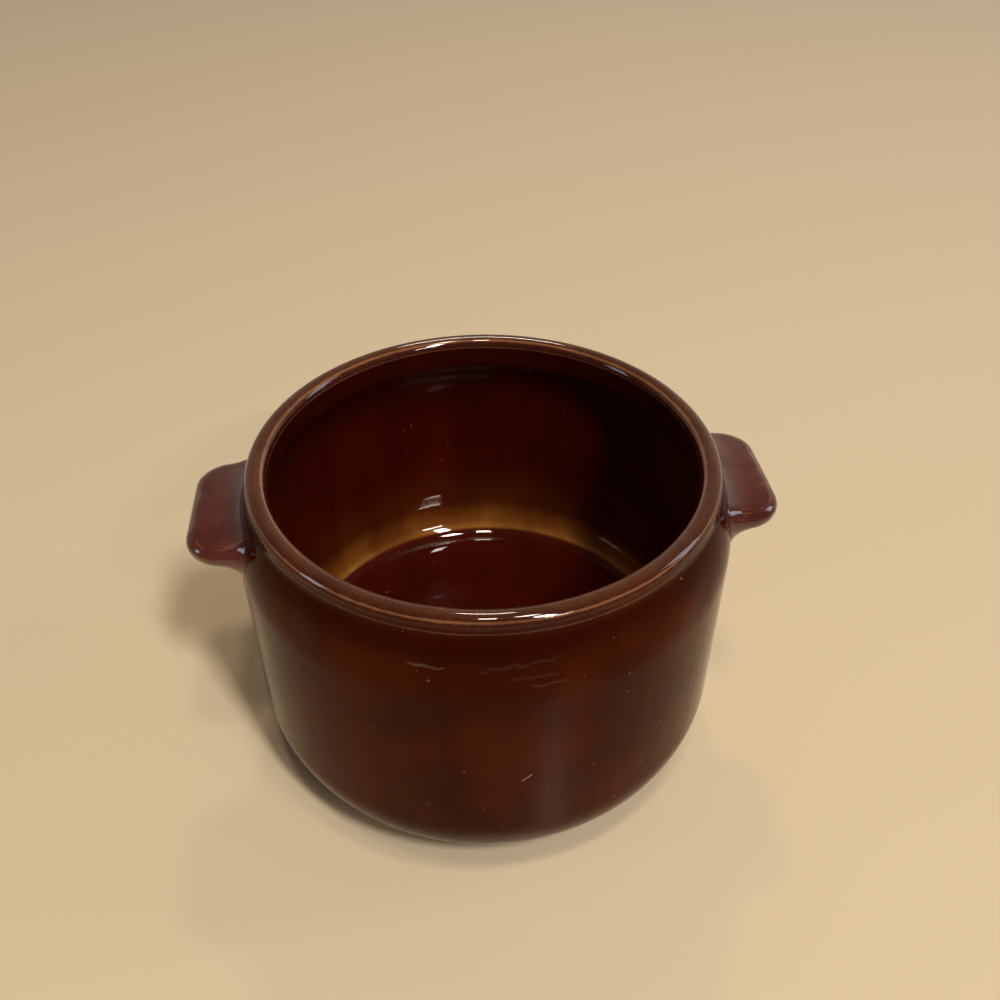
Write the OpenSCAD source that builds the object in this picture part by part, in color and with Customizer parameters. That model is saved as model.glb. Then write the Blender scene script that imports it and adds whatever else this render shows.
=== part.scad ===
// Stoneware bean pot: a round crock with a rolled rim and two tab handles.
// Millimetres. The origin is the middle of the foot, +Z is up, and the handles lie along X.

/* [Pot body] */
// Height from the table to the top of the rim
pot_height = 136; // [124:1:150]
// Outside diameter of the wall
belly_d = 191; // [172:1:210]
// Thickness of the wall
wall_t = 8.5; // [7:0.5:10]
// Height of the inside floor above the table
floor_t = 24; // [20:0.5:28]
// Radius of the curve between the wall and the foot
corner_r = 37; // [31:1:43]
// Radius of the curve between the floor and the wall, on the inside
inner_corner_r = 16; // [12:1:20]
// Radius of the shoulder, between the wall and the rim
shoulder_r = 50; // [44:1:56]
// Radius of the hollow under the shoulder, on the inside
inner_shoulder_r = 32; // [28:1:36]

/* [Rim] */
// How far the rim stands inside the wall
rim_set_in = 6.5; // [5.5:0.5:8]
// Thickness of the rolled rim
rim_roll = 8.2; // [7.2:0.2:9.4]
// Depth of the faint groove under the rim
rim_groove = 0.2; // [0.1:0.05:0.5]
// Radius of the hollow of that groove
groove_r = 6; // [5:0.5:7]

/* [Foot] */
// How far the table plane cuts into the curve of the corner
foot_cut = 1.5; // [1:0.1:2.5]
// Width of the foot ring
foot_ring_w = 9; // [6:1:14]
// Depth of the hollow inside the foot ring
foot_recess = 6; // [4:0.5:8]

/* [Tab handles] */
// Drop from the top of the rim to the top of a handle
lug_drop = 16.5; // [15.5:0.5:22]
// Largest width of a handle
lug_w = 57; // [48:1:66]
// Thickness of a handle
lug_t = 9.5; // [8:0.5:11]
// How far a handle stands out past the wall
lug_reach = 16; // [14:0.5:20]
// Corner radius of a handle, seen from above
lug_corner_r = 13; // [10:0.5:15]
// Radius of the hollow flare where a handle meets the wall
lug_flare_r = 12; // [11:0.5:16]

/* [Hidden] */
$fn = 96;
glaze_colour = [0.25, 0.09, 0.05];

// The next hundredth of a millimetre up, so that arcs meant to touch cross by a hair and never miss
function next_hundredth(v) = ceil(100 * v + 0.2) / 100;

belly_r = belly_d / 2;
in_r = belly_r - wall_t;

// Rolled rim: a full round, its middle at roll_x, roll_z
roll_r = rim_roll / 2;
rim_r = belly_r - rim_set_in;
roll_x = rim_r - roll_r;
roll_z = pot_height - roll_r;
throat_r = roll_x - roll_r;

// Groove under the rim: a circle that touches the roll and the shoulder
groove_x = rim_r - rim_groove + groove_r;
groove_z = next_hundredth(roll_z - sqrt(pow(roll_r + groove_r, 2) - pow(groove_x - roll_x, 2)));

// Shoulder: a circle that touches the wall and the groove
shoulder_x = belly_r - shoulder_r;
shoulder_z = next_hundredth(groove_z - sqrt(pow(shoulder_r + groove_r, 2) - pow(groove_x - shoulder_x, 2)));

// Corner and foot
corner_x = belly_r - corner_r;
corner_z = corner_r - foot_cut;
foot_r = corner_x + sqrt(pow(corner_r, 2) - pow(corner_z, 2));
recess_r = foot_r - foot_ring_w;
recess_slope = 2;

// Inside corner and inside shoulder
in_corner_x = in_r - inner_corner_r;
in_corner_z = floor_t + inner_corner_r;
in_shoulder_x = in_r - inner_shoulder_r;

// Handle: a plate with fully rounded edges and two round corners
lug_edge = lug_t / 2;
lug_z = pot_height - lug_drop - lug_edge;
lug_tip = belly_r + lug_reach;
corner_core = lug_corner_r - lug_edge;
corner_mid_x = lug_tip - lug_corner_r;
corner_mid_y = lug_w / 2 - lug_corner_r;
side_y = lug_w / 2 - lug_edge;
// The flare begins just short of the corners and stops below the groove under the rim
flare_start = corner_mid_x - 0.5;
flare_rise = min(6.5, groove_z - 3 - (lug_z + lug_edge));
// The handle's blank begins this far from the pot's axis, inside the wall that it is then cut to
root_start = belly_r - 22;

// Half section of the pot's outside, filled to the axis
module outside_section() {
    difference() {
        union() {
            // foot and corner
            intersection() {
                translate([corner_x, corner_z]) circle(r = corner_r);
                translate([corner_x, 0]) square([corner_r, corner_z]);
            }
            square([corner_x, corner_z]);
            // wall
            translate([0, corner_z]) square([belly_r, shoulder_z - corner_z]);
            // shoulder
            intersection() {
                translate([shoulder_x, shoulder_z]) circle(r = shoulder_r);
                translate([shoulder_x, shoulder_z]) square([shoulder_r, groove_z - shoulder_z]);
            }
            // neck, between the middles of the shoulder, the groove and the roll
            polygon([
                [0, shoulder_z],
                [shoulder_x, shoulder_z],
                [groove_x, groove_z],
                [roll_x, roll_z],
                [0, roll_z]
            ]);
            // rolled rim
            translate([roll_x, roll_z]) circle(r = roll_r);
        }
        translate([groove_x, groove_z]) circle(r = groove_r);
    }
}

// Half section of the space inside the pot
module inside_section() {
    // mouth
    translate([0, shoulder_z]) square([throat_r, roll_z - shoulder_z]);
    translate([0, roll_z]) square([roll_x, roll_r + 1]);
    // under the shoulder
    intersection() {
        translate([in_shoulder_x, shoulder_z]) circle(r = inner_shoulder_r);
        translate([in_shoulder_x, shoulder_z]) square(inner_shoulder_r);
    }
    // wall
    translate([0, in_corner_z]) square([in_r, shoulder_z - in_corner_z]);
    // corner and floor
    intersection() {
        translate([in_corner_x, in_corner_z]) circle(r = inner_corner_r);
        translate([in_corner_x, floor_t]) square(inner_corner_r);
    }
    translate([0, floor_t]) square([in_corner_x, inner_corner_r]);
}

// Half section of the hollow inside the foot ring
module recess_section() {
    polygon([
        [0, -1],
        [recess_r, -1],
        [recess_r, 0],
        [recess_r - recess_slope, foot_recess],
        [0, foot_recess]
    ]);
}

// The crock: floor, wall, shoulder, groove, rolled rim and foot ring
module pot_body() {
    color(glaze_colour)
        rotate_extrude() {
            difference() {
                outside_section();
                difference() {
                    inside_section();
                    translate([roll_x, roll_z]) circle(r = roll_r);
                }
                recess_section();
            }
        }
}

// Upper half of a handle's section, along its length: level towards the tip, flared towards the wall
module flare_section() {
    translate([root_start, 0]) square([corner_mid_x - root_start, lug_edge]);
    difference() {
        translate([root_start, 0]) square([flare_start - root_start, lug_edge + flare_rise]);
        translate([flare_start, lug_edge + lug_flare_r]) circle(r = lug_flare_r);
    }
}

// Section of a handle's rounded edge, from the middle of a corner outwards
module edge_section() {
    translate([0, -lug_edge]) square([corner_core, lug_t]);
    intersection() {
        translate([corner_core, 0]) circle(r = lug_edge);
        translate([corner_core, -lug_edge]) square([lug_edge, lug_t]);
    }
}

// A handle along +X before its root is cut, as blocks that share flat faces
module lug_blank() {
    translate([0, 0, lug_z]) {
        // middle
        translate([0, side_y, 0])
            rotate([90, 0, 0])
                linear_extrude(height = 2 * side_y) {
                    flare_section();
                    mirror([0, 1]) flare_section();
                }
        // end
        translate([corner_mid_x, corner_mid_y, 0])
            rotate([90, 0, 0])
                linear_extrude(height = 2 * corner_mid_y) edge_section();
        for (far = [0, 1])
            mirror([0, far, 0]) {
                // corner
                translate([corner_mid_x, corner_mid_y, 0])
                    rotate_extrude(angle = 90) edge_section();
                // side, turned about its own length
                translate([0, side_y, 0])
                    rotate([0, 90, 0])
                        rotate_extrude(angle = 180)
                            mirror([1, -1]) flare_section();
            }
    }
}

// A handle along +X, cut at its root to the pot's own outside
module lug() {
    difference() {
        lug_blank();
        rotate_extrude() outside_section();
    }
}

// The handle on the left, along -X
module left_lug() {
    color(glaze_colour)
        rotate([0, 0, 180]) lug();
}

// The handle on the right, along +X
module right_lug() {
    color(glaze_colour)
        lug();
}

pot_body();
left_lug();
right_lug();
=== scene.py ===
"""Looks of a stoneware bean pot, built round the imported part.

The pot is a turned crock with two tab handles, in a dark glossy glaze. Sizes of its pieces are in mm.
Blender's objects, the lamps and the camera are in metres. Colours are linear.
"""

import logging
import math
from dataclasses import dataclass
from enum import Enum
from functools import reduce

import bmesh
import bpy
from mathutils import Matrix, Vector

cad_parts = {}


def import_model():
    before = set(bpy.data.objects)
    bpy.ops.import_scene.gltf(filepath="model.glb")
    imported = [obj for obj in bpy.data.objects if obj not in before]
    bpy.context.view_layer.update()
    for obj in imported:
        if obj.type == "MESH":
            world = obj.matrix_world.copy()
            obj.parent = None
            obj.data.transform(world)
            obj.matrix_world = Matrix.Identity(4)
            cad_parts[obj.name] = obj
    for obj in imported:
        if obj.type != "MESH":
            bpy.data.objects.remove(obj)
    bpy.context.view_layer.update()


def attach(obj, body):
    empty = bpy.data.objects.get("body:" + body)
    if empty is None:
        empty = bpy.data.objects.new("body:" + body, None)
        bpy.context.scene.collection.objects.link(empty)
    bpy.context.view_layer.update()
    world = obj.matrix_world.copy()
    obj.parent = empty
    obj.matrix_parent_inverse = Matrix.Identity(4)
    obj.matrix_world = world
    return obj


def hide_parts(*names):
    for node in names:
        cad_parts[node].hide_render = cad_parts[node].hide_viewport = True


LOG = logging.getLogger("bean_pot")
ROOT_BODY = "root"
MM = 0.001
# Points this close together are merged, and points this close to a plane lie on it
SAME = 0.002 * MM
NEAR = 0.01 * MM
X, Y, Z = range(3)
# Inputs of node groups that are places
PLACES = ("Place", "Middle")

Mesh = bmesh.types.BMesh
Piece = bpy.types.Object
Material = bpy.types.Material
Tree = bpy.types.NodeTree
Node = bpy.types.Node
Socket = bpy.types.NodeSocket
Value = Socket | float
Pair = tuple[float, float]
Point = Pair
Triple = tuple[float, float, float]
Colour = Triple


class Side(Enum):
    """The side of the pot that a handle is on, as the turn that takes it there from the right."""

    RIGHT = 0.0
    LEFT = math.pi


# Work on meshes


class Bench:
    """Mesh work in edit mode, one piece at a time."""

    @staticmethod
    def clear() -> None:
        """Deselect every object, so that the next operator acts on its own piece."""
        if bpy.context.object is not None and bpy.context.object.mode != "OBJECT":
            bpy.ops.object.mode_set(mode="OBJECT")
        bpy.ops.object.select_all(action="DESELECT")

    @staticmethod
    def open_mesh(name: str) -> Mesh:
        """Name the new primitive and open it for editing.

        Args:
            name: Name of the piece and of its mesh.

        Returns:
            The piece's mesh in edit mode.
        """
        piece = bpy.context.object
        piece.name = name
        piece.data.name = name
        bpy.ops.object.mode_set(mode="EDIT")
        return bmesh.from_edit_mesh(piece.data)

    @staticmethod
    def refresh() -> Mesh:
        """Give the active piece's mesh again, after an operator has changed it."""
        return bmesh.from_edit_mesh(bpy.context.object.data)

    @staticmethod
    def update() -> None:
        """Show the active piece the places that its points were moved to."""
        bmesh.update_edit_mesh(bpy.context.object.data)

    @staticmethod
    def lies_at(element: bmesh.types.BMEdge | bmesh.types.BMFace, axis: int, place: float) -> bool:
        """Whether every point of an edge or face lies at one place along an axis, in metres."""
        return all(abs(vertex.co[axis] - place) < NEAR for vertex in element.verts)

    @staticmethod
    def is_square_to(edge: bmesh.types.BMEdge, axis: int) -> bool:
        """Whether an edge runs square to an axis."""
        return abs(edge.verts[0].co[axis] - edge.verts[1].co[axis]) < NEAR

    @staticmethod
    def pick(mesh: Mesh, mode: str, wanted: list) -> None:
        """Select only the given edges or faces.

        Args:
            mesh: The mesh in edit mode.
            mode: Selection mode, EDGE or FACE.
            wanted: The elements to select.
        """
        bpy.ops.mesh.select_all(action="DESELECT")
        bpy.ops.mesh.select_mode(type=mode)
        for element in wanted:
            element.select_set(True)
        mesh.select_flush_mode()
        Bench.update()

    @staticmethod
    def round_edges(mesh: Mesh, edges: list, radius: float, parts: int) -> None:
        """Round some edges of the mesh to a radius in mm, each with a number of flat parts."""
        Bench.pick(mesh, "EDGE", edges)
        bpy.ops.mesh.bevel(offset=radius * MM, segments=parts, affect="EDGES", clamp_overlap=False)

    @staticmethod
    def cut(place: Triple, way: Triple) -> None:
        """Cut the whole mesh along the plane through a place in mm that is square to a way."""
        bpy.ops.mesh.select_all(action="SELECT")
        bpy.ops.mesh.bisect(plane_co=Vector(place) * MM, plane_no=way)

    @staticmethod
    def close_mesh() -> Piece:
        """Merge doubles, turn faces outwards, leave edit mode and shade the piece smooth.

        Returns:
            The finished piece.
        """
        bpy.ops.mesh.select_mode(type="VERT")
        bpy.ops.mesh.select_all(action="SELECT")
        bpy.ops.mesh.remove_doubles(threshold=SAME)
        bpy.ops.mesh.normals_make_consistent(inside=False)
        bpy.ops.object.mode_set(mode="OBJECT")
        bpy.ops.object.shade_smooth()
        return bpy.context.object


# Section of the crock, as points by distance from the axis and height, in mm


def arc(middle: Point, radius: float, first: float, last: float, step: float) -> list[Point]:
    """Points of a round.

    Args:
        middle: Middle of the round.
        radius: Radius in mm.
        first: Angle of the first point in degrees, 0 outwards and 90 up.
        last: Angle of the last point in degrees.
        step: Largest distance between points, in mm.

    Returns:
        The points from first to last.
    """
    count = max(2, math.ceil(abs(math.radians(last - first)) * radius / step))
    turns = [math.radians(first + (last - first) * i / count) for i in range(count + 1)]
    return [(middle[0] + radius * math.cos(t), middle[1] + radius * math.sin(t)) for t in turns]


def line(first: Point, last: Point, step: float) -> list[Point]:
    """Evenly spaced points of a straight from first to last, at most a step in mm apart."""
    count = max(1, math.ceil(math.dist(first, last) / step))
    return [tuple(a + (b - a) * i / count for a, b in zip(first, last)) for i in range(count + 1)]


def beside(edge: Point, steps: tuple[Point, ...]) -> list[Point]:
    """Points of a soft turn, given as steps outwards and up from the sharp edge."""
    return [(edge[0] + out, edge[1] + up) for out, up in steps]


def angle_to(first: Point, last: Point) -> float:
    """Angle of the way from one point to another in degrees, 0 outwards and 90 up."""
    return math.degrees(math.atan2(last[1] - first[1], last[0] - first[0]))


def leg(longest: float, other: float) -> float:
    """Third side of a right-angled triangle, from its longest side and another."""
    return math.sqrt(longest**2 - other**2)


@dataclass
class PotBody:
    """The turned crock. Sizes are in mm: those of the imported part, with the wall a hair inside its box."""

    height: float = 136.0
    belly_r: float = 95.48
    wall: float = 8.5
    floor: float = 24.0
    corner_r: float = 37.0
    inner_corner_r: float = 16.0
    shoulder_r: float = 50.0
    inner_shoulder_r: float = 32.0
    rim_r: float = 89.0
    roll_r: float = 4.1
    groove_depth: float = 0.2
    groove_r: float = 6.0
    foot_cut: float = 1.5
    foot_ring: float = 9.0
    foot_recess: float = 6.0
    # Soft turns of the section, each as steps outwards and up from its sharp edge
    recess_top: tuple[Point, ...] = ((-3.2, 0.0), (-2.4, -0.25), (-1.9, -0.9))
    recess_low: tuple[Point, ...] = ((-0.25, 0.7), (0.05, 0.25), (0.45, 0.05), (0.9, 0.0))
    foot_edge: tuple[Point, ...] = ((-1.5, 0.0), (-0.5, 0.05), (0.35, 0.32))
    collar_edge: tuple[Point, ...] = ((0.0, 2.2), (0.18, 0.9), (0.75, -0.35))
    # Angles in degrees that those turns take off the rounds beside them
    foot_angle_off: float = 2.2
    collar_angle_off: float = 4.0
    # Gaps left between a straight and the rounds at its ends
    wall_gap_low: float = 2.0
    wall_gap_high: float = 1.0
    throat_gap: float = 0.6
    floor_gap: float = 2.0
    # Largest distances between the points of the section
    step: float = 1.2
    rim_step: float = 0.35
    corner_step: float = 1.6
    foot_step: float = 2.0
    wall_step: float = 3.0
    floor_step: float = 4.0
    recess_step: float = 6.0
    # Steps of the spin round the axis
    spin_steps: int = 240
    # Throwing rings up the inside wall: their depth, and waves as share, radians for each mm, and start
    ring_depth: float = 0.05
    ring_waves: tuple[Triple, ...] = ((1.0, 0.57, 0.0), (0.6, 0.31, 1.0))
    # Bare clay reaches this far from the axis, and this far above the recess
    clay_r: float = 69.2
    clay_rise: float = 0.5

    @property
    def roll(self) -> Point:
        """Middle of the rolled rim's section."""
        return self.rim_r - self.roll_r, self.height - self.roll_r

    def on_roll(self, angle: float) -> Point:
        """Point of the rolled rim's section at an angle in degrees, 0 outwards and 90 up."""
        turn = math.radians(angle)
        return self.roll[0] + self.roll_r * math.cos(turn), self.roll[1] + self.roll_r * math.sin(turn)

    @property
    def groove(self) -> Point:
        """Middle of the groove's round, which touches the roll."""
        x = self.rim_r - self.groove_depth + self.groove_r
        return x, self.roll[1] - leg(self.roll_r + self.groove_r, x - self.roll[0])

    @property
    def shoulder(self) -> Point:
        """Middle of the shoulder's round, which touches the wall and the groove."""
        x = self.belly_r - self.shoulder_r
        return x, self.groove[1] - leg(self.shoulder_r + self.groove_r, self.groove[0] - x)

    @property
    def inside_r(self) -> float:
        """Distance of the inside wall from the axis."""
        return self.belly_r - self.wall

    def outside_r(self, height: float) -> float:
        """Distance of the outside of the wall or shoulder from the axis.

        Args:
            height: Height above the table, between the corner and the groove, in mm.

        Returns:
            The distance in mm.
        """
        rise = height - self.shoulder[1]
        if rise <= 0:
            return self.belly_r
        return self.shoulder[0] + leg(self.shoulder_r, rise)

    def section(self) -> list[Point]:
        """Section of the crock from the axis under the foot, up the outside and down the inside.

        Returns:
            Its points.
        """
        corner = (self.belly_r - self.corner_r, self.corner_r - self.foot_cut)
        foot_angle = -math.degrees(math.asin(corner[1] / self.corner_r))
        foot_r = corner[0] + self.corner_r * math.cos(math.radians(foot_angle))
        recess_r = foot_r - self.foot_ring
        top = beside((recess_r, self.foot_recess), self.recess_top)
        low = beside((recess_r, 0.0), self.recess_low)
        edge = beside((foot_r, 0.0), self.foot_edge)
        points = line((0.0, self.foot_recess), top[0], self.recess_step) + top[1:-1]
        points += line(top[-1], low[0], self.step) + low[1:-1]
        points += line(low[-1], edge[0], self.foot_step) + edge[1:]
        points += arc(corner, self.corner_r, foot_angle + self.foot_angle_off, 0.0, self.corner_step)
        wall_low = (self.belly_r, corner[1] + self.wall_gap_low)
        wall_high = (self.belly_r, self.shoulder[1] - self.wall_gap_high)
        points += line(wall_low, wall_high, self.wall_step)
        to_groove = angle_to(self.shoulder, self.groove)
        points += arc(self.shoulder, self.shoulder_r, 0.0, to_groove, self.step)
        to_roll = angle_to(self.groove, self.roll)
        points += arc(self.groove, self.groove_r, to_groove + 180.0, to_roll, self.rim_step)[1:]
        points += arc(self.roll, self.roll_r, to_roll - 180.0, 180.0, self.rim_step)[1:]
        return points + self.inside_section()

    def inside_section(self) -> list[Point]:
        """Section of the inside, from under the rolled rim to the axis on the floor.

        Returns:
            Its points.
        """
        throat_r = self.roll[0] - self.roll_r
        hollow = (self.inside_r - self.inner_shoulder_r, self.shoulder[1])
        collar_angle = math.degrees(math.acos((throat_r - hollow[0]) / self.inner_shoulder_r))
        collar_z = hollow[1] + self.inner_shoulder_r * math.sin(math.radians(collar_angle))
        collar = beside((throat_r, collar_z), self.collar_edge)
        points = line((throat_r, self.roll[1] - self.throat_gap), collar[0], self.step) + collar[1:]
        points += arc(hollow, self.inner_shoulder_r, collar_angle - self.collar_angle_off, 0.0, self.step)
        corner = (self.inside_r - self.inner_corner_r, self.floor + self.inner_corner_r)
        wall_high = (self.inside_r, hollow[1] - self.step)
        wall_low = (self.inside_r, corner[1] + self.step)
        wall = line(wall_high, wall_low, self.step)
        points += [(r - self.throwing_ring(z, corner[1]), z) for r, z in wall]
        points += arc(corner, self.inner_corner_r, 0.0, -90.0, self.step)
        return points + line((corner[0] - self.floor_gap, self.floor), (0.0, self.floor), self.floor_step)

    def throwing_ring(self, height: float, low: float) -> float:
        """Height of the faint rings that the potter's fingers left on the inside wall.

        Args:
            height: Height above the table, in mm.
            low: Height where the wall begins, in mm.

        Returns:
            How far the wall stands in, in mm.
        """
        share = (height - low) / (self.shoulder[1] - low)
        fade = math.sin(math.pi * min(max(share, 0.0), 1.0))
        waves = sum(size * math.sin(rate * height + start) for size, rate, start in self.ring_waves)
        return self.ring_depth * fade * waves

    def build(self) -> Piece:
        """Draw the section point by point and spin it round the axis.

        Returns:
            The crock.
        """
        Bench.clear()
        bpy.ops.mesh.primitive_plane_add(size=MM)
        Bench.open_mesh("crock")
        bpy.ops.mesh.merge(type="CENTER")
        points = self.section()
        bpy.ops.transform.translate(value=(points[0][0] * MM, 0.0, points[0][1] * MM))
        for (r0, z0), (r1, z1) in zip(points, points[1:]):
            step = ((r1 - r0) * MM, 0.0, (z1 - z0) * MM)
            bpy.ops.mesh.extrude_vertices_move(TRANSFORM_OT_translate={"value": step})
        bpy.ops.mesh.select_all(action="SELECT")
        bpy.ops.mesh.spin(steps=self.spin_steps, angle=math.tau, center=(0, 0, 0), axis=(0, 0, 1))
        return Bench.close_mesh()

    def dress(self, piece: Piece, glaze: Material, clay: Material) -> None:
        """Give the crock its glaze, with bare clay under the foot.

        Args:
            piece: The crock.
            glaze: Material of the glazed surface.
            clay: Material of the bare foot.
        """
        piece.data.materials.append(glaze)
        piece.data.materials.append(clay)
        for face in piece.data.polygons:
            middle = face.center / MM
            is_low = middle.z < self.foot_recess + self.clay_rise
            if is_low and math.hypot(middle.x, middle.y) < self.clay_r:
                face.material_index = 1
        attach(piece, ROOT_BODY)
        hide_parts("pot_body")


# The tab handles


@dataclass
class TabHandle:
    """A pressed tab handle whose root is smoothed on to the shoulder. Sizes are in mm."""

    side: Side
    pot: PotBody
    node: str
    width: float = 57.0
    thick: float = 9.5
    tip: float = 111.5
    corner_r: float = 14.0
    drop: float = 16.5
    crown: float = 0.9
    # The flare begins this far from the wall and spreads this far at each side, above and below
    flare_from: float = 9.5
    flare_side: float = 4.0
    flare_top: float = 3.0
    flare_under: float = 5.0
    # How sharply the flare bends at the wall, between 0 and 1
    flare_sharp: float = 0.92
    # Rings of the root, as shares of the way from the wall to the plate, and how far the last sinks in
    root_rings: tuple[float, ...] = (0.8, 0.6, 0.45, 0.32, 0.22, 0.14, 0.07, 0.02)
    sink: float = 1.2
    # The plate begins this far behind its corners, and the rounds of its edge stop this short of meeting
    root_gap: float = 0.1
    edge_gap: float = 0.04
    corner_parts: int = 14
    edge_parts: int = 9
    cuts_across: int = 15
    cuts_along: int = 5
    cut_step: float = 1.5

    @property
    def edge(self) -> float:
        """Radius of the rounded edges."""
        return self.thick / 2

    @property
    def span(self) -> float:
        """Half of the width between the rounded sides."""
        return self.width / 2 - self.edge

    @property
    def level(self) -> float:
        """Height of the middle of the handle."""
        return self.pot.height - self.drop - self.edge

    @property
    def root_x(self) -> float:
        """Where the plate ends and the smoothed root begins."""
        return self.tip - self.corner_r - self.root_gap

    def plate(self) -> None:
        """Shape the plate: a block with two round corners and fully rounded edges."""
        mesh = Bench.open_mesh(f"{self.node}_tab")
        bpy.ops.transform.resize(value=((self.tip - self.root_x) * MM, self.width * MM, self.thick * MM))
        bpy.ops.transform.translate(value=((self.tip + self.root_x) / 2 * MM, 0.0, self.level * MM))
        tip = self.tip * MM
        posts = [e for e in mesh.edges if Bench.lies_at(e, X, tip) and Bench.is_square_to(e, Y)]
        Bench.round_edges(mesh, posts, self.corner_r, self.corner_parts)
        mesh = Bench.refresh()
        root = self.root_x * MM
        around = [e for e in mesh.edges if Bench.is_square_to(e, Z) and not Bench.lies_at(e, X, root)]
        Bench.round_edges(mesh, around, self.edge - self.edge_gap, self.edge_parts)
        for i in range(self.cuts_across):
            y = self.span * (2 * (i + 0.5) / self.cuts_across - 1)
            Bench.cut((0.0, y, 0.0), (0.0, 1.0, 0.0))
        for i in range(self.cuts_along):
            x = self.root_x + self.cut_step * (i + 1)
            Bench.cut((x, 0.0, 0.0), (1.0, 0.0, 0.0))

    def wall_x(self, y: float, z: float) -> float:
        """Where the pot's outside lies along X, at a place across and a height, all in mm."""
        return leg(self.pot.outside_r(z), y)

    def draw_root(self) -> None:
        """Draw the root's faces out to the wall in rings, and close them just inside it."""
        mesh = Bench.refresh()
        ends = [f for f in mesh.faces if Bench.lies_at(f, X, self.root_x * MM)]
        Bench.pick(mesh, "FACE", ends)
        rings = [(share, 0.0) for share in self.root_rings] + [(0.0, self.sink)]
        step = (-self.root_gap * MM, 0.0, 0.0)
        for share, depth in rings:
            bpy.ops.mesh.extrude_region_move(TRANSFORM_OT_translate={"value": step})
            mesh = Bench.refresh()
            for vertex in (v for v in mesh.verts if v.select):
                wall = self.wall_x(vertex.co.y / MM, vertex.co.z / MM)
                vertex.co.x = (wall + share * (self.root_x - wall) - depth) * MM
            Bench.update()

    def shape(self, place: Vector) -> Vector:
        """Flare a point of the handle towards its root and crown its top.

        Args:
            place: The point on the straight handle, in mm.

        Returns:
            The point on the finished handle, in mm.
        """
        beyond = place.y - min(max(place.y, -self.span), self.span)
        out = Vector((beyond, place.z - self.level)) / self.edge
        way = out.normalized()
        wall = self.wall_x(place.y, place.z)
        near = min(max((self.flare_from - (place.x - wall)) / self.flare_from, 0.0), 1.0)
        bend = (1 - math.sqrt(1 - self.flare_sharp * near**2)) / (1 - math.sqrt(1 - self.flare_sharp))
        reach = self.flare_side + (self.flare_top - self.flare_side) * max(way.y, 0.0)
        reach += (self.flare_under - self.flare_side) * max(-way.y, 0.0)
        fall = self.crown * max(out.y, 0.0) * (place.y / self.span) ** 2 * (1 - near)
        y = place.y + bend * reach * way.x
        z = place.z + bend * reach * way.y - fall
        x = place.x + near * (self.wall_x(y, z) - wall)
        return Vector((x, y, z))

    def flare(self) -> None:
        """Move every point of the straight handle to its place on the finished one."""
        for vertex in Bench.refresh().verts:
            vertex.co = self.shape(vertex.co / MM) * MM
        Bench.update()

    def build(self) -> Piece:
        """Build the handle on its side of the pot.

        Returns:
            The handle.
        """
        Bench.clear()
        bpy.ops.mesh.primitive_cube_add(size=1.0)
        self.plate()
        self.draw_root()
        self.flare()
        if self.side is Side.LEFT:
            bpy.ops.mesh.select_all(action="SELECT")
            bpy.ops.transform.rotate(value=self.side.value, orient_axis="Z", center_override=(0.0, 0.0, 0.0))
        piece = Bench.close_mesh()
        even = piece.modifiers.new("even_normals", "WEIGHTED_NORMAL")
        bpy.ops.object.modifier_apply(modifier=even.name)
        return piece

    def dress(self, piece: Piece, glaze: Material) -> None:
        """Give the handle its glaze.

        Args:
            piece: The handle.
            glaze: Material of the glazed surface.
        """
        piece.data.materials.append(glaze)
        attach(piece, ROOT_BODY)
        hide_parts(self.node)


# Work on node trees


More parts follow.
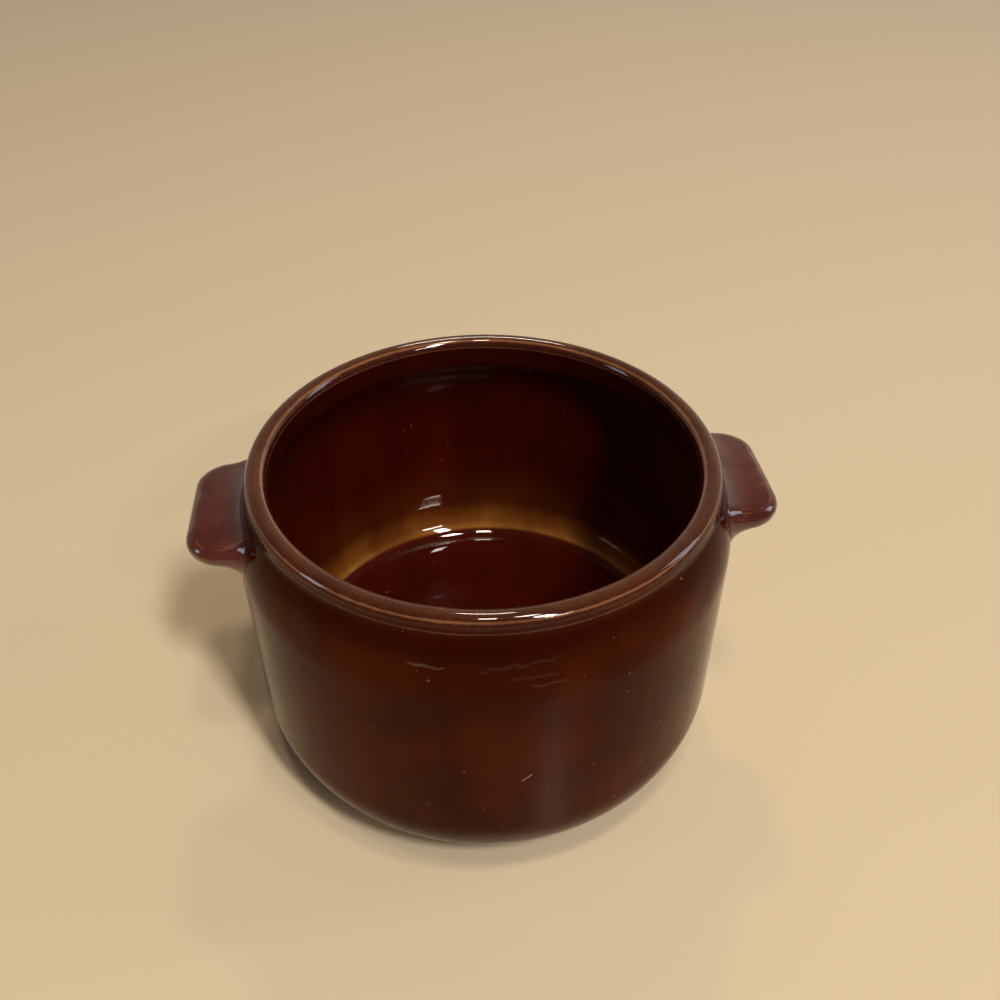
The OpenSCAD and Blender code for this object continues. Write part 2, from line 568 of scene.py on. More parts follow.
@dataclass
class Board:
    """A node tree, with short ways to add and join its nodes."""

    tree: Tree

    def add(self, kind: str, **settings: object) -> Node:
        """Add a node and set its properties.

        Args:
            kind: Node type.
            **settings: Properties of the node.

        Returns:
            The node.
        """
        node = self.tree.nodes.new(kind)
        for name, value in settings.items():
            setattr(node, name, value)
        return node

    def feed(self, socket: Socket, value: Value | Triple) -> None:
        """Join a socket to another, or give it a plain value.

        Args:
            socket: The input.
            value: An output socket, a number, a colour or a place.
        """
        if isinstance(value, Socket):
            self.tree.links.new(value, socket)
        elif socket.type == "RGBA":
            socket.default_value = (*value, 1.0)
        else:
            socket.default_value = value

    def feed_all(self, node: Node, *values: Value | Triple) -> Node:
        """Feed a node's inputs in order.

        Args:
            node: The node.
            *values: What its inputs are given.

        Returns:
            The node.
        """
        for socket, value in zip(node.inputs, values):
            self.feed(socket, value)
        return node

    def math(self, work: str, *values: Value) -> Socket:
        """Add a Math node of some operation, fed with values, and give its output."""
        return self.feed_all(self.add("ShaderNodeMath", operation=work), *values).outputs[0]

    def times(self, *values: Value) -> Socket:
        """Multiply two or more values."""
        return reduce(lambda product, value: self.math("MULTIPLY", product, value), values)

    def add_share(self, base: Value, value: Socket, share: float) -> Socket:
        """Add a share of a value to a base."""
        return self.math("MULTIPLY_ADD", value, share, base)

    def hypot(self, first: Value, second: Value) -> Socket:
        """Length of the long side over two sides that are square to each other."""
        squares = self.math("ADD", self.math("POWER", first, 2.0), self.math("POWER", second, 2.0))
        return self.math("SQRT", squares)

    def vector(self, work: str, *values: Socket | Triple) -> Node:
        """Add a Vector Math node of some operation, fed with values."""
        return self.feed_all(self.add("ShaderNodeVectorMath", operation=work), *values)

    def stretch(self, place: Socket, scale: Triple) -> Socket:
        """Scale a place along X, Y and Z, so that a pattern stretches."""
        return self.vector("MULTIPLY", place, scale).outputs["Vector"]

    def split(self, place: Socket) -> tuple[Socket, Socket, Socket]:
        """Give X, Y and Z of a place."""
        return tuple(self.feed_all(self.add("ShaderNodeSeparateXYZ"), place).outputs)

    def from_axis(self, place: Socket) -> Socket:
        """Distance of a place from the pot's axis."""
        return self.vector("LENGTH", self.stretch(place, (1.0, 1.0, 0.0))).outputs["Value"]

    def place_in_mm(self) -> Socket:
        """Place on the piece in mm, from its Object coordinates."""
        place = self.add("ShaderNodeTexCoord").outputs["Object"]
        return self.stretch(place, (1.0 / MM, 1.0 / MM, 1.0 / MM))

    def remap(self, value: Socket, low: Value, high: Value, first: float, last: float) -> Socket:
        """Change smoothly from first, up to where a value is low, to last, from where it is high."""
        node = self.add("ShaderNodeMapRange", interpolation_type="SMOOTHSTEP")
        return self.feed_all(node, value, low, high, first, last).outputs[0]

    def rise(self, value: Socket, low: Value, high: Value) -> Socket:
        """Rise smoothly from 0 at low to 1 at high."""
        return self.remap(value, low, high, 0.0, 1.0)

    def fall(self, value: Socket, low: Value, high: Value) -> Socket:
        """Fall smoothly from 1 at low to 0 at high."""
        return self.remap(value, low, high, 1.0, 0.0)

    def blend(self, share: Socket, first: Socket | Colour, second: Socket | Colour) -> Socket:
        """Mix two colours.

        Args:
            share: Share of the second colour.
            first: First colour.
            second: Second colour.

        Returns:
            The mixed colour.
        """
        node = self.add("ShaderNodeMix", data_type="RGBA")
        self.feed(node.inputs[0], share)
        self.feed(node.inputs[6], first)
        self.feed(node.inputs[7], second)
        return node.outputs[2]

    def tint(self, base: Socket, mask: Socket, strength: float, colour: Colour) -> Socket:
        """Lay a colour over a base where a mask says, at some strength."""
        return self.blend(self.times(mask, strength), base, colour)

    def noise(self, place: Socket, scale: float, detail: float = 2.0, rough: float = 0.5) -> Socket:
        """Add a noise pattern.

        Args:
            place: Where it is read, in mm.
            scale: Repeats for each mm.
            detail: How many finer layers it has.
            rough: Strength of the finer layers.

        Returns:
            The pattern, about 0 to 1.
        """
        node = self.add("ShaderNodeTexNoise", noise_dimensions="3D")
        self.feed(node.inputs["Vector"], place)
        node.inputs["Scale"].default_value = scale
        node.inputs["Detail"].default_value = detail
        node.inputs["Roughness"].default_value = rough
        return node.outputs["Fac"]

    def raise_surface(self, shader: Node, height: Socket, unit: float, strength: float) -> None:
        """Lead a height to the shader's normal.

        Args:
            shader: The material's shader.
            height: Height of the surface.
            unit: Height of 1, in metres.
            strength: Strength of the relief, 1 for its true slope.
        """
        bump = self.add("ShaderNodeBump")
        bump.inputs["Strength"].default_value = strength
        bump.inputs["Distance"].default_value = unit
        self.feed(bump.inputs["Height"], height)
        self.feed(shader.inputs["Normal"], bump.outputs["Normal"])

    def place_group(self, group: Tree, **values: Value | Triple) -> Node:
        """Place a node group and feed its inputs.

        Args:
            group: The group.
            **values: Its inputs by name.

        Returns:
            The group's node.
        """
        node = self.add("ShaderNodeGroup", node_tree=group)
        for name, value in values.items():
            self.feed(node.inputs[name], value)
        return node


def new_group(name: str, inputs: tuple[str, ...], outputs: tuple[str, ...]) -> tuple[Board, dict, dict]:
    """Start a node group.

    Args:
        name: Name of the group.
        inputs: Names of its inputs, which are numbers unless they are among PLACES.
        outputs: Names of its outputs, which are numbers.

    Returns:
        Its board, the sockets that it is given and the sockets that it puts out, by name.
    """
    tree = bpy.data.node_groups.new(name, "ShaderNodeTree")
    for socket in inputs:
        kind = "NodeSocketVector" if socket in PLACES else "NodeSocketFloat"
        tree.interface.new_socket(name=socket, in_out="INPUT", socket_type=kind)
    for socket in outputs:
        tree.interface.new_socket(name=socket, in_out="OUTPUT", socket_type="NodeSocketFloat")
    board = Board(tree)
    given = {socket.name: socket for socket in board.add("NodeGroupInput").outputs}
    made = {socket.name: socket for socket in board.add("NodeGroupOutput").inputs}
    return board, given, made


def new_material(name: str) -> tuple[Material, Board, Node]:
    """Start a material.

    Args:
        name: Name of the material.

    Returns:
        The material, its board and its shader.
    """
    material = bpy.data.materials.new(name)
    material.use_nodes = True
    return material, Board(material.node_tree), material.node_tree.nodes["Principled BSDF"]


# Finishes


class GlazeEffects:
    """Node groups that the glazed pieces share. Places and sizes are in mm."""

    # Smallest speck and solid core of a speck, as shares of its width
    SMALLEST_SPECK = 0.35
    SPECK_CORE = 0.55
    # Solid core of a hair mark, as shares of its width and of its length
    MARK_CORE = 0.4
    MARK_SOLID = 0.35
    # A hair mark fades this far in front of and behind its middle
    MARK_FADE = (6.0, 8.0)

    def __init__(self) -> None:
        """Build each group once."""
        self.drift = self.make_drift()
        self.flaws = self.make_flaws()
        self.ring = self.make_ring()
        self.mark = self.make_mark()

    @staticmethod
    def make_drift() -> Tree:
        """How the melted glaze drifted: broad tone, runs down the wall and a soft ripple.

        Returns:
            The group.
        """
        board, given, made = new_group("glaze_drift", ("Place",), ("Tone", "Runs", "Ripple"))
        place = given["Place"]
        tone = board.noise(place, scale=0.021, detail=3.0, rough=0.55)
        runs = board.noise(board.stretch(place, (1.0, 1.0, 0.12)), scale=0.055)
        broad = board.noise(place, scale=0.045, detail=1.0)
        fine = board.noise(place, scale=0.32, detail=1.0)
        board.feed(made["Tone"], board.rise(tone, 0.34, 0.66))
        board.feed(made["Runs"], board.rise(runs, 0.36, 0.68))
        board.feed(made["Ripple"], board.add_share(broad, fine, 0.10))
        return board.tree

    @classmethod
    def make_flaws(cls) -> Tree:
        """Small flaws of the glaze: light specks and pinholes, in some cells only.

        Returns:
            The group.
        """
        board, given, made = new_group("glaze_flaws", ("Place", "Share", "Width"), ("Specks", "Pinholes"))
        for name, cells_per_mm in (("Specks", 0.30), ("Pinholes", 0.24)):
            cells = board.add("ShaderNodeTexVoronoi", feature="F1")
            board.feed(cells.inputs["Vector"], given["Place"])
            cells.inputs["Scale"].default_value = cells_per_mm
            draws = board.feed_all(board.add("ShaderNodeSeparateColor"), cells.outputs["Color"])
            chosen = board.math("LESS_THAN", draws.outputs[0], given["Share"])
            uneven = board.math("ADD", draws.outputs[1], cls.SMALLEST_SPECK)
            size = board.times(given["Width"], uneven, cells_per_mm)
            dot = board.fall(cells.outputs["Distance"], board.times(size, cls.SPECK_CORE), size)
            board.feed(made[name], board.times(dot, chosen))
        return board.tree

    @staticmethod
    def make_ring() -> Tree:
        """A ragged ring round the pot: lines of thin glaze, a painted sheen on the rim and painted shade at
        the handles' root.

        Returns:
            The group.
        """
        inputs = ("Place", "Radius", "Height", "Width", "Ragged")
        board, given, made = new_group("ring_line", inputs, ("Mask",))
        place = given["Place"]
        out = board.math("SUBTRACT", board.from_axis(place), given["Radius"])
        up = board.math("SUBTRACT", board.split(place)[Z], given["Height"])
        wobble = board.math("SUBTRACT", board.noise(place, scale=0.30, detail=5.0, rough=0.7), 0.5)
        uneven = board.add_share(1.0, board.times(wobble, given["Ragged"]), 2.0)
        width = board.times(given["Width"], uneven)
        board.feed(made["Mask"], board.fall(board.hypot(out, up), 0.0, width))
        return board.tree

    @classmethod
    def make_mark(cls) -> Tree:
        """A short hair-thin mark on the wall that faces -Y.

        Returns:
            The group.
        """
        inputs = ("Place", "Middle", "Turn", "Length", "Width", "Waver")
        board, given, made = new_group("hair_mark", inputs, ("Mask",))
        place = given["Place"]
        moved = board.vector("SUBTRACT", place, given["Middle"]).outputs["Vector"]
        turned = board.add("ShaderNodeVectorRotate", rotation_type="Y_AXIS")
        board.feed(turned.inputs["Vector"], moved)
        board.feed(turned.inputs["Angle"], given["Turn"])
        x, y, z = board.split(turned.outputs[0])
        waver = board.math("SUBTRACT", board.noise(place, scale=0.28), 0.5)
        across = board.math("ABSOLUTE", board.math("ADD", z, board.times(waver, given["Waver"])))
        along = board.math("ABSOLUTE", x)
        width, length = given["Width"], given["Length"]
        thin = board.fall(across, board.times(width, cls.MARK_CORE), width)
        short = board.fall(along, board.times(length, cls.MARK_SOLID), board.times(length, 0.5))
        near = board.fall(board.math("ABSOLUTE", y), *cls.MARK_FADE)
        board.feed(made["Mask"], board.times(thin, short, near))
        return board.tree


@dataclass(frozen=True)
class Band:
    """Where a glaze changes, in mm beyond some place of the pot."""

    low: float
    high: float

    def beyond(self, place: float) -> Pair:
        """Both ends of the change."""
        return place + self.low, place + self.high


@dataclass(frozen=True)
class RimLine:
    """A ring on the rolled rim where the glaze drew thin, the broad one on top partly a painted sheen: its
    angle in degrees, and its width in mm.
    """

    angle: float
    width: float
    ragged: float
    strength: float


@dataclass(frozen=True)
class HairMark:
    """A hair-thin mark on the front of the crock. Sizes are in mm, the turn is in degrees."""

    middle: Triple
    turn: float
    length: float
    width: float
    waver: float
    lift: float
    pale: float
    clear: float


@dataclass(frozen=True)
class Glaze:
    """A glossy dark brown glaze, with its own light specks, and relief in mm."""

    name: str
    deep: Colour
    warm: Colour
    pooled_and_shade: Colour
    thin: Colour
    sheen: Colour
    gloss: float
    gloss_drift: float
    shine: float
    speck_share: float
    speck_width: float
    speck_strength: float
    ripple: float
    pinhole: float = 0.05
    coat_ior: float = 1.68


class Coat:
    """A glaze while its material is made: the colour, roughness, clear coat and height so far."""

    def __init__(self, glaze: Glaze, effects: GlazeEffects) -> None:
        """Start the material with what every glaze has.

        Args:
            glaze: Colours and sizes of the glaze.
            effects: The shared node groups.
        """
        self.material, self.board, self.shader = new_material(glaze.name)
        self.shader.inputs["Specular IOR Level"].default_value = glaze.shine
        self.shader.inputs["Specular Tint"].default_value = (*glaze.sheen, 1.0)
        self.shader.inputs["Coat Roughness"].default_value = glaze.gloss
        self.shader.inputs["Coat IOR"].default_value = glaze.coat_ior
        self.effects = effects
        self.place = self.board.place_in_mm()
        drift = self.spread(effects.drift)
        flaws = self.spread(effects.flaws, Share=glaze.speck_share, Width=glaze.speck_width)
        self.tone = drift["Tone"]
        self.runs = drift["Runs"]
        self.specks = flaws["Specks"]
        self.base = self.board.blend(self.tone, glaze.deep, glaze.warm)
        self.rough = self.board.add_share(glaze.gloss, self.tone, glaze.gloss_drift)
        self.height = self.board.times(drift["Ripple"], glaze.ripple)
        self.lift(flaws["Pinholes"], -glaze.pinhole)
        self.clear: Value = 0.0

    def spread(self, group: Tree, **values: Value | Triple) -> bpy.types.bpy_prop_collection:
        """Spread a shared effect over the piece, fed with values by name, and give its outputs."""
        return self.board.place_group(group, Place=self.place, **values).outputs

    def ring(self, radius: float, height: float, width: float, ragged: float) -> Socket:
        """Mask of a ragged ring round the pot, with sizes in mm."""
        sizes = {"Radius": radius, "Height": height, "Width": width, "Ragged": ragged}
        return self.spread(self.effects.ring, **sizes)["Mask"]

    def tint(self, mask: Socket, strength: float, colour: Colour) -> None:
        """Lay a colour over the glaze where a mask says."""
        self.base = self.board.tint(self.base, mask, strength, colour)

    def dull(self, mask: Socket, amount: float) -> None:
        """Roughen the glaze where a mask says."""
        self.rough = self.board.add_share(self.rough, mask, amount)

    def polish(self, mask: Socket, weight: float) -> None:
        """Lay clear coat of at least some weight where a mask says."""
        self.clear = self.board.math("MAXIMUM", self.clear, self.board.times(mask, weight))

    def lift(self, pattern: Socket, size: float) -> None:
        """Raise the surface by a pattern times a size in mm."""
        self.height = self.board.add_share(self.height, pattern, size)

    def finish(self) -> Material:
        """Lead everything to the shader.

        Returns:
            The material.
        """
        made = {"Base Color": self.base, "Roughness": self.rough, "Coat Weight": self.clear}
        for name, value in made.items():
            self.board.feed(self.shader.inputs[name], value)
        self.board.raise_surface(self.shader, self.height, unit=MM, strength=1.0)
        return self.material


@dataclass(frozen=True)
class CrockGlaze(Glaze):
    """Glaze of the crock: chocolate outside, red inside, amber with a painted glow round the floor and thin
    on the rim.
    """

    name: str = "crock_glaze"
    deep: Colour = (0.040, 0.0048, 0.0008)
    warm: Colour = (0.067, 0.0095, 0.0014)
    # Dark gathered glaze for the runs, also used for painted shade and the dark band under the rim
    pooled_and_shade: Colour = (0.022, 0.0022, 0.0008)
    thin: Colour = (0.320, 0.1250, 0.0500)
    sheen: Colour = (1.0, 0.45, 0.12)
    gloss: float = 0.03
    gloss_drift: float = 0.04
    shine: float = 0.05
    speck_share: float = 0.09
    speck_width: float = 0.52
    speck_strength: float = 0.48
    ripple: float = 0.10
    inside_deep: Colour = (0.050, 0.0030, 0.0006)
    inside_warm: Colour = (0.072, 0.0053, 0.0010)
    amber: Colour = (0.380, 0.1400, 0.0190)
    scar: Colour = (0.550, 0.3800, 0.2400)
    scar_dullness: float = 0.3
    # The inside, from the inner wall and from the floor, and the rim, from the middle of its roll
    wall_inside: Band = Band(0.5, 1.0)
    floor_inside: Band = Band(-1.0, -0.5)
    rim: Band = Band(-0.5, 2.5)
    # The amber ring above the floor, partly amber glaze and partly a painted glow of reflected light: where
    # it starts, its bright core, its halo and its wide glow
    amber_start: Band = Band(3.0, 4.2)
    amber_core: Band = Band(4.2, 6.4)
    amber_halo: Band = Band(4.2, 18.0)
    amber_wide: Band = Band(3.0, 58.0)
    core_share: float = 0.34
    halo_share: float = 0.36
    wide_share: float = 0.15
    # Painted shade on the floor and on the inside under the rim, and a darker band on the shoulder up to the
    # groove and the roll
    floor_shade: Band = Band(2.0, 3.4)
    floor_shade_share: float = 0.32
    collar_shade_rise: float = 66.0
    collar_shade_share: float = 0.65
    dark_band_rise: float = 12.0
    dark_band_full: float = -6.0
    dark_band_fade: float = -3.0
    dark_band_end: float = -1.0
    dark_band_share: float = 0.62
    runs_share: float = 0.30
    grain_share: float = 0.13
    # Clear coat all over, on the rim and on the lower inside, which is dull where its coat ends
    coat: float = 0.015
    rim_coat: float = 0.68
    inside_coat: float = 0.75
    coat_end: Band = Band(32.0, 50.0)
    dullness: float = 0.28
    # Low waves from turning, running and melting: stretch, repeats for each mm, and height in mm
    waves: tuple[tuple[Triple, float, float], ...] = (
        ((0.04, 0.04, 1.0), 0.55, 0.03),
        ((1.0, 1.0, 0.07), 0.16, 0.10),
        ((1.0, 1.0, 1.0), 0.22, 0.04),
    )
    rim_lines_and_sheen: tuple[RimLine, ...] = (
        # The broad first line lightens the top of the roll: partly thin glaze, partly a painted sheen
        RimLine(95.0, 5.2, 0.25, 0.20),
        RimLine(42.0, 0.70, 1.2, 0.70),
        RimLine(128.0, 0.95, 1.0, 0.85),
        RimLine(172.0, 0.6, 1.0, 0.35),
        RimLine(-22.0, 0.55, 1.2, 0.45),
    )
    marks: tuple[HairMark, ...] = (
        HairMark((5.3, -95.3, 64.2), 42.0, 5.6, 0.22, 0.1, 0.0, 0.85, 0.0),
        HairMark((-27.0, -88.9, 118.8), 0.0, 13.0, 0.6, 3.2, 0.12, 0.06, 0.35),
        HairMark((2.0, -91.8, 119.6), 6.0, 30.0, 0.7, 3.6, 0.12, 0.0, 0.22),
        HairMark((7.0, -92.9, 115.0), -2.0, 19.0, 0.7, 2.4, 0.10, 0.0, 0.20),
        HairMark((12.0, -93.8, 111.6), 1.0, 14.0, 0.6, 2.0, 0.10, 0.0, 0.26),
    )

    def inside_colour(self, coat: Coat, up: Socket, pot: PotBody) -> Socket:
        """Colour of the inside: red, with painted shade on the floor and under the rim, and the amber ring
        with its painted glow.

        Args:
            coat: The material so far.
            up: Height above the table, in mm.
            pot: The crock's sizes.

        Returns:
            The colour.
        """
        board = coat.board
        # The amber ring: partly amber glaze, partly a painted glow of reflected light
        start = board.rise(up, *self.amber_start.beyond(pot.floor))
        core = board.fall(up, *self.amber_core.beyond(pot.floor))
        halo = board.fall(up, *self.amber_halo.beyond(pot.floor))
        wide = board.math("POWER", board.fall(up, *self.amber_wide.beyond(pot.floor)), 2.0)
        glow = board.add_share(board.times(wide, self.wide_share), halo, self.halo_share)
        glow = board.add_share(glow, core, self.core_share)
        patch = board.remap(board.noise(coat.place, scale=0.05, detail=3.0), 0.3, 0.65, 0.5, 1.0)
        # Painted shade: the inside is darker on the floor and high up under the rim
        shaded_floor = board.fall(up, *self.floor_shade.beyond(pot.floor))
        shaded_collar = board.rise(up, pot.floor + self.collar_shade_rise, pot.roll[1])
        colour = board.blend(coat.tone, self.inside_deep, self.inside_warm)
        colour = board.tint(colour, shaded_floor, self.floor_shade_share, self.pooled_and_shade)
        colour = board.blend(board.times(glow, start, patch), colour, self.amber)
        return board.tint(colour, shaded_collar, self.collar_shade_share, self.pooled_and_shade)

    def darken_under_rim(self, coat: Coat, up: Socket, pot: PotBody) -> None:
        """Darken the outside in a band just under the rim.

        Args:
            coat: The material so far.
            up: Height above the table, in mm.
            pot: The crock's sizes.
        """
        groove_z = pot.groove[1]
        low = pot.shoulder[1] + self.dark_band_rise
        band_rises = coat.board.rise(up, low, groove_z + self.dark_band_full)
        high = pot.roll[1] + self.dark_band_end
        ends = coat.board.fall(up, groove_z + self.dark_band_fade, high)
        coat.tint(coat.board.times(band_rises, ends), self.dark_band_share, self.pooled_and_shade)

    def thin_out(self, coat: Coat, on_rim: Socket, pot: PotBody) -> None:
        """Lay the lines and the grain of thin glaze on the rim, the broad line partly a painted sheen, then
        the runs and the specks.

        Args:
            coat: The material so far.
            on_rim: Where the rim is.
            pot: The crock's sizes.
        """
        for ring in self.rim_lines_and_sheen:
            mask = coat.ring(*pot.on_roll(ring.angle), ring.width, ring.ragged)
            coat.tint(mask, ring.strength, self.thin)
        grain = coat.board.noise(coat.place, scale=0.8, detail=3.0, rough=0.65)
        grain_on_rim = coat.board.times(coat.board.rise(grain, 0.50, 0.70), on_rim)
        coat.tint(grain_on_rim, self.grain_share, self.thin)
        coat.tint(coat.runs, self.runs_share, self.pooled_and_shade)
        coat.tint(coat.specks, self.speck_strength, self.thin)

    def add_marks(self, coat: Coat) -> None:
        """Add the low waves, the scratch and the ripples.

        Args:
            coat: The material so far.
        """
        for stretch, scale, size in self.waves:
            coat.lift(coat.board.noise(coat.board.stretch(coat.place, stretch), scale), size)
        for mark in self.marks:
            sizes = {"Length": mark.length, "Width": mark.width, "Waver": mark.waver}
            turn = math.radians(mark.turn)
            hair = coat.spread(coat.effects.mark, Middle=mark.middle, Turn=turn, **sizes)["Mask"]
            coat.tint(hair, mark.pale, self.scar)
            coat.dull(hair, self.scar_dullness * mark.pale)
            coat.lift(hair, mark.lift)
            coat.polish(hair, mark.clear)

    def material(self, pot: PotBody, effects: GlazeEffects) -> Material:
        """Build the material.

        Args:
            pot: The crock's sizes.
            effects: The shared node groups.

        Returns:
            The material.
        """
        coat = Coat(self, effects)
        board = coat.board
        up = board.split(coat.place)[Z]
        in_wall = board.fall(board.from_axis(coat.place), *self.wall_inside.beyond(pot.inside_r))
        within = board.times(in_wall, board.rise(up, *self.floor_inside.beyond(pot.floor)))
        on_rim = board.rise(up, *self.rim.beyond(pot.roll[1]))
        self.darken_under_rim(coat, up, pot)
        coat.base = board.blend(within, coat.base, self.inside_colour(coat, up, pot))
        self.thin_out(coat, on_rim, pot)
        ends = self.coat_end.beyond(pot.floor)
        off_rim = board.math("SUBTRACT", 1.0, on_rim)
        coat.clear = self.coat
        coat.polish(board.times(within, board.fall(up, *ends)), self.inside_coat)
        coat.polish(on_rim, self.rim_coat)
        coat.dull(board.times(within, board.rise(up, *ends), off_rim), self.dullness)
        self.add_marks(coat)
        return coat.finish()


@dataclass(frozen=True)
class HandleGlaze(Glaze):
    """Glaze of the handles: more purple, with painted shade at the root, thin on the edge and a little worn.
    """

    name: str = "handle_glaze"
    deep: Colour = (0.066, 0.0110, 0.0072)
    warm: Colour = (0.098, 0.0190, 0.0125)
    # Dark glaze for the mottle, also used for painted shade at the root
    pooled_and_shade: Colour = (0.026, 0.0030, 0.0014)
    thin: Colour = (0.240, 0.0950, 0.0500)
    sheen: Colour = (1.0, 0.80, 0.70)
    gloss: float = 0.07
    gloss_drift: float = 0.08
    shine: float = 0.20
    speck_share: float = 0.10
    speck_width: float = 0.50
    speck_strength: float = 0.4
    ripple: float = 0.35
    dimple: float = 0.05
    mottle_share: float = 0.32
    # Painted shade in the crease at the root, this far above the top of the handle
    root_shade_rise: float = 2.0
    root_shade_width: float = 7.0
    root_shade_ragged: float = 0.5
    root_shade_share: float = 0.8
    # Wear along the edge, in shares of the edge's radius: its seam, how high it begins and where rubs end
    seam_inset: float = 0.62
    wear_above: Pair = (0.3, 0.6)
    rub_end: Pair = (0.9, 1.7)
    # Half of the seam's width where it is solid and where it has faded out, in mm
    seam_half: Pair = (0.25, 1.1)
    wear_share: float = 0.45
    wear_dullness: float = 0.25
    # Clear coat where the glaze isn't mottled and where it is
    coats: Pair = (0.80, 0.50)

    def edge_wear(self, board: Board, place: Socket, tab: TabHandle) -> Socket:
        """Where the glaze is thin along the edge of a handle's top, and rubbed beside it.

        Args:
            board: The material's board.
            place: Place on the handle, in mm.
            tab: The handle's sizes.

        Returns:
            The mask.
        """
        x, y, z = board.split(place)
        reach = board.math("SUBTRACT", board.math("ABSOLUTE", x), tab.tip - tab.corner_r)
        across = board.math("SUBTRACT", board.math("ABSOLUTE", y), tab.width / 2 - tab.corner_r)
        out = board.hypot(board.math("MAXIMUM", reach, 0.0), board.math("MAXIMUM", across, 0.0))
        inset = board.math("SUBTRACT", tab.corner_r, out)
        above = board.rise(z, *(tab.level + share * tab.edge for share in self.wear_above))
        off_seam = board.math("ABSOLUTE", board.math("SUBTRACT", inset, self.seam_inset * tab.edge))
        gap = board.rise(board.noise(place, scale=0.11, detail=3.0, rough=0.6), 0.42, 0.60)
        seam = board.times(board.fall(off_seam, *self.seam_half), above, gap)
        scuffs = board.noise(board.stretch(place, (0.06, 1.0, 1.0)), scale=0.85, detail=3.0, rough=0.6)
        patch = board.rise(board.noise(place, scale=0.045, detail=1.0), 0.46, 0.60)
        edge_side = board.fall(inset, *(share * tab.edge for share in self.rub_end))
        rubs = board.times(board.rise(scuffs, 0.50, 0.68), edge_side, patch, above)
        return board.math("MAXIMUM", seam, rubs)

    def material(self, tab: TabHandle, effects: GlazeEffects) -> Material:
        """Build the material.

        Args:
            tab: The handle's sizes.
            effects: The shared node groups.

        Returns:
            The material.
        """
        coat = Coat(self, effects)
        board, place = coat.board, coat.place
        mottle = board.rise(board.noise(place, scale=0.085, detail=3.0), 0.38, 0.68)
        coat.tint(mottle, self.mottle_share, self.pooled_and_shade)
        # Painted shade where the handle's top meets the wall
        root_shade_z = tab.level + tab.edge + self.root_shade_rise
        root_shade = coat.ring(tab.pot.outside_r(root_shade_z), root_shade_z, self.root_shade_width, self.root_shade_ragged)
        coat.tint(root_shade, self.root_shade_share, self.pooled_and_shade)
        coat.tint(coat.specks, self.speck_strength, self.thin)
        wear = self.edge_wear(board, place, tab)
        coat.tint(wear, self.wear_share, self.thin)
        coat.dull(wear, self.wear_dullness)
        coat.lift(board.noise(place, scale=0.42), self.dimple)
        coat.clear = board.remap(mottle, 0.0, 1.0, *self.coats)
        return coat.finish()


@dataclass(frozen=True)
class BareClay:
    """Fired clay with no glaze, under the foot."""

    pale: Colour = (0.36, 0.24, 0.15)
    dark: Colour = (0.22, 0.13, 0.075)
    grit_share: float = 0.35
    rough: Pair = (0.72, 0.9)
    grit_height: float = 0.15
    relief: float = 0.6

    def material(self) -> Material:
        """Build the material.

        Returns:
            The material.
        """
        material, board, shader = new_material("bare_clay")
        place = board.place_in_mm()
        tone = board.noise(place, scale=0.08, detail=4.0, rough=0.6)
        grit = board.noise(place, scale=1.6)
        share = board.rise(board.add_share(tone, grit, self.grit_share), 0.45, 0.95)
        board.feed(shader.inputs["Base Color"], board.blend(share, self.dark, self.pale))
        board.feed(shader.inputs["Roughness"], board.remap(grit, 0.3, 0.7, *self.rough))
        board.raise_surface(shader, grit, unit=self.grit_height * MM, strength=self.relief)
        return material


# The studio


@dataclass(frozen=True)
class Softbox:
    """A soft lamp that faces the pot. Angles are in degrees, sizes in metres."""

    name: str
    azimuth: float
    elevation: float
    distance: float
    size: Pair
    watts: float
    colour: Colour
    target: Triple = (0.0, 0.0, 0.1)

    def build(self) -> Piece:
        """Hang the lamp and turn it to the pot.

        Returns:
            The lamp.
        """
        lamp = bpy.data.lights.new(self.name, "AREA")
        lamp.shape = "RECTANGLE"
        lamp.size, lamp.size_y = self.size
        lamp.energy = self.watts
        lamp.color = self.colour
        made = bpy.data.objects.new(self.name, lamp)
        bpy.context.scene.collection.objects.link(made)
        turn, rise = math.radians(self.azimuth), math.radians(self.elevation)
        way = Vector((math.cos(turn) * math.cos(rise), math.sin(turn) * math.cos(rise), math.sin(rise)))
        made.location = Vector(self.target) + way * self.distance
        made.rotation_euler = way.to_track_quat("Z", "Y").to_euler()
        return made


WARM = (1.0, 0.90, 0.77)
COOL = (0.90, 0.94, 1.0)
BLUE = (0.66, 0.80, 1.0)


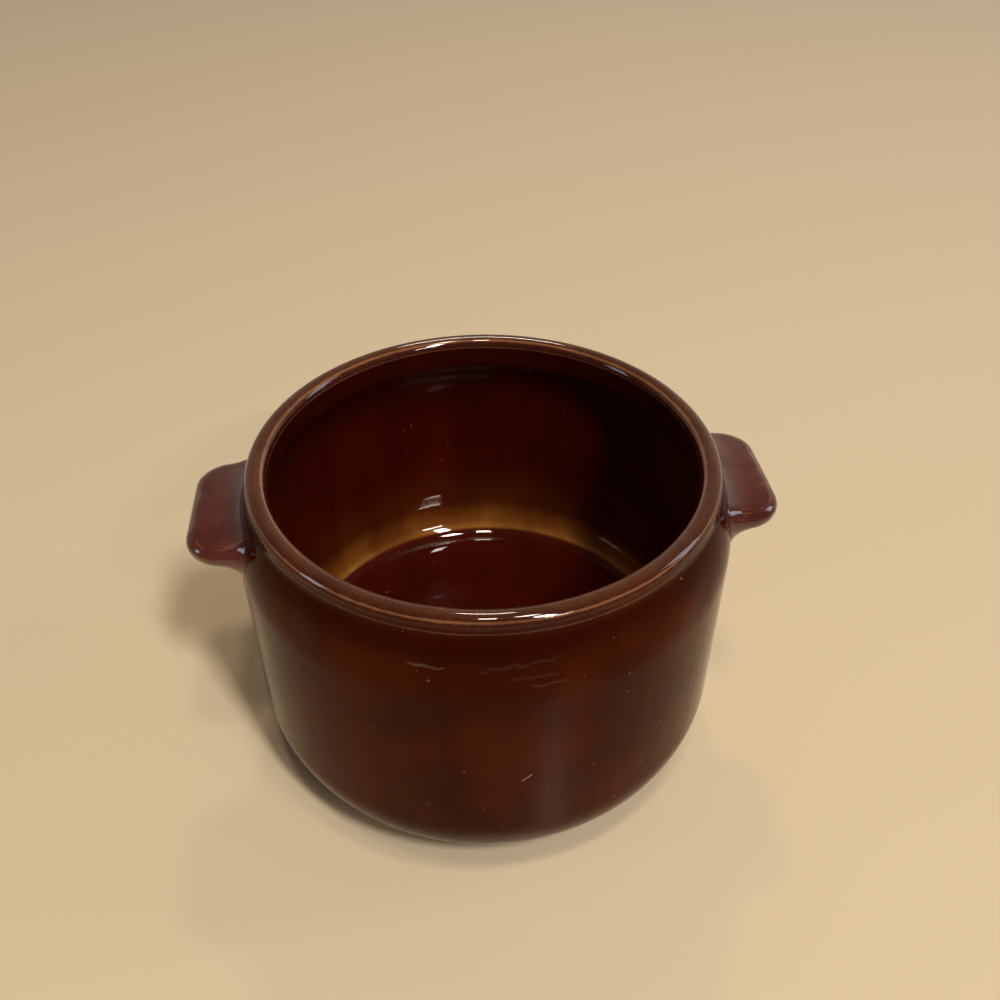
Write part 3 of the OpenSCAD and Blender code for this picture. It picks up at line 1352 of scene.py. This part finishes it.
@dataclass
class Studio:
    """Pale floor, soft lamps, a pale surround and the camera. Sizes are in metres."""

    floor_size: float = 14.0
    floor_colour: Colour = (0.78, 0.60, 0.37)
    floor_rough: float = 0.25
    floor_shine: float = 0.35
    lamps: tuple[Softbox, ...] = (
        Softbox("overhead_right", -50.0, 76.0, 3.0, (0.25, 0.30), 12.6, WARM),
        Softbox("overhead_left", -93.0, 76.0, 3.0, (0.23, 0.27), 9.8, WARM),
        Softbox("front_right", -62.0, 38.5, 2.8, (0.49, 0.046), 8.7, WARM),
        Softbox("front_strip", -63.0, 54.0, 2.7, (0.22, 0.50), 42.0, COOL),
        Softbox("back_top", 85.0, 55.0, 2.7, (0.23, 0.10), 5.6, WARM),
        Softbox("right_window", 3.0, 28.0, 2.7, (0.60, 1.20), 8.5, BLUE),
        Softbox("left_lamp", -172.0, 22.0, 2.7, (0.50, 0.90), 4.8, BLUE),
    )
    # The surround is dark in front and pale behind, dimmer overhead and on the left
    front: Colour = (0.17, 0.15, 0.13)
    back: Colour = (0.60, 0.50, 0.41)
    level_and_overhead: Pair = (1.0, 0.3)
    left_and_right: Pair = (0.7, 1.1)
    eye: Triple = (-0.0261, -0.3013, 0.3591)
    ahead: Triple = (0.0823, 0.7698, -0.6330)
    nearest: float = 0.01
    # Width of the camera's sensor and its focal length, in mm
    sensor: float = 36.0
    lens: float = 36.04

    def lay_floor(self) -> Piece:
        """Lay the floor that the pot stands on.

        Returns:
            The floor.
        """
        Bench.clear()
        bpy.ops.mesh.primitive_plane_add(size=self.floor_size)
        floor = bpy.context.object
        floor.name = "studio_floor"
        material, _, shader = new_material("pale_floor")
        shader.inputs["Base Color"].default_value = (*self.floor_colour, 1.0)
        shader.inputs["Roughness"].default_value = self.floor_rough
        shader.inputs["Specular IOR Level"].default_value = self.floor_shine
        floor.data.materials.append(material)
        return floor

    def set_surround(self) -> None:
        """Light the scene softly from all round."""
        world = bpy.context.scene.world or bpy.data.worlds.new("surround")
        bpy.context.scene.world = world
        world.use_nodes = True
        board = Board(world.node_tree)
        sky = world.node_tree.nodes["Background"]
        x, y, z = board.split(board.add("ShaderNodeTexCoord").outputs["Generated"])
        overhead = board.remap(z, 0.1, 0.8, *self.level_and_overhead)
        right = board.remap(x, -0.6, 0.6, *self.left_and_right)
        board.feed(sky.inputs["Color"], board.blend(board.rise(y, 0.0, 0.75), self.front, self.back))
        board.feed(sky.inputs["Strength"], board.times(overhead, right))

    def set_camera(self) -> None:
        """Put the camera where the photograph was taken from."""
        camera = bpy.data.cameras.new("photo_view")
        camera.sensor_width = self.sensor
        camera.lens = self.lens
        camera.clip_start = self.nearest
        made = bpy.data.objects.new("photo_view", camera)
        bpy.context.scene.collection.objects.link(made)
        ahead = Vector(self.ahead).normalized()
        right = ahead.cross(Vector((0.0, 0.0, 1.0))).normalized()
        up = right.cross(ahead)
        turn = Matrix((right, up, -ahead)).transposed().to_4x4()
        made.matrix_world = Matrix.Translation(Vector(self.eye)) @ turn
        bpy.context.scene.camera = made

    def build(self) -> None:
        """Set up the whole studio."""
        self.lay_floor()
        for lamp in self.lamps:
            lamp.build()
        self.set_surround()
        self.set_camera()
        bpy.context.scene.view_settings.view_transform = "Standard"


def main() -> None:
    """Build the pot and its studio, piece by piece."""
    logging.basicConfig(level=logging.INFO, format="%(name)s: %(message)s")
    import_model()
    effects = GlazeEffects()
    pot = PotBody()
    crock = pot.build()
    pot.dress(crock, CrockGlaze().material(pot, effects), BareClay().material())
    LOG.info("%s: %d faces", crock.name, len(crock.data.polygons))
    right_tab = TabHandle(Side.RIGHT, pot, "right_lug")
    left_tab = TabHandle(Side.LEFT, pot, "left_lug")
    tab_glaze = HandleGlaze().material(right_tab, effects)
    for tab in (right_tab, left_tab):
        piece = tab.build()
        tab.dress(piece, tab_glaze)
        LOG.info("%s: %d faces", piece.name, len(piece.data.polygons))
    Studio().build()


if __name__ == "__main__":
    main()
